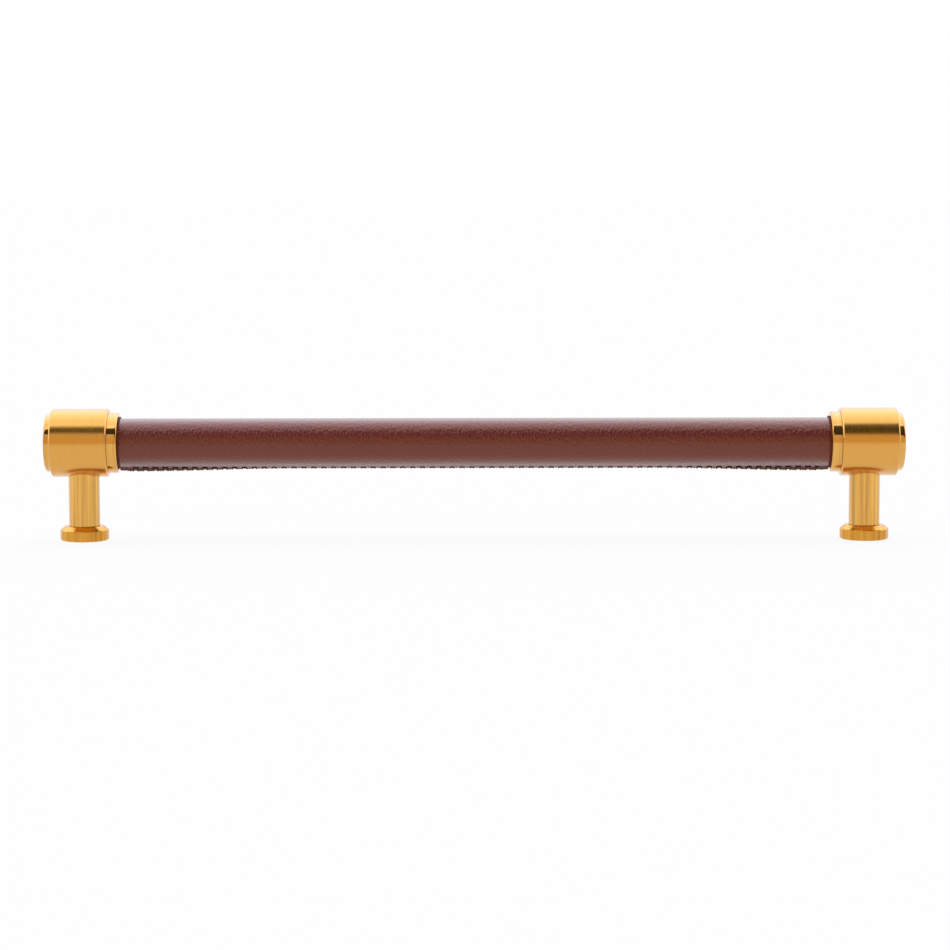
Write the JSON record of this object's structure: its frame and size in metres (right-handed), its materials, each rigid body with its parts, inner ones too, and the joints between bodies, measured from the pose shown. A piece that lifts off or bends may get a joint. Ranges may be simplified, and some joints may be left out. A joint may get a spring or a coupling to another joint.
{
  "type": "leather-wrapped bar pull",
  "caption": "Round bar pull with a stitched leather sleeve between two turned brass barrels, on round posts with stepped feet.",
  "frame": {"origin": "midway between the two feet, on the plane of the door that they stand on", "axes": "+X along the bar, +Z away from the door, +Y across the bar; the leather's seam faces the door, towards -Z"},
  "size_m": [0.3338, 0.0266, 0.0513],
  "materials": {
    "brushed_brass": "satin, brushed round the barrel",
    "polished_brass": "polished",
    "leather": "finished oxblood leather with a soft sheen and a fine grain",
    "waxed_thread": "waxed thread in the leather's own tone",
    "fibre": "red vulcanised fibre",
    "steel": "plain"
  },
  "bodies": {
    "root": {"core_tube": "steel", "leather_wrap": "leather", "seam_thread": "waxed_thread", "left_core_plug": "steel", "left_barrel": "brushed_brass", "left_collar": "polished_brass", "left_end_washer": "fibre", "left_end_cap": "polished_brass", "left_post": "polished_brass", "left_foot": "polished_brass", "left_post_stud": "steel", "right_core_plug": "steel", "right_barrel": "brushed_brass", "right_collar": "polished_brass", "right_end_washer": "fibre", "right_end_cap": "polished_brass", "right_post": "polished_brass", "right_foot": "polished_brass", "right_post_stud": "steel"}
  },
  "joints": []
}
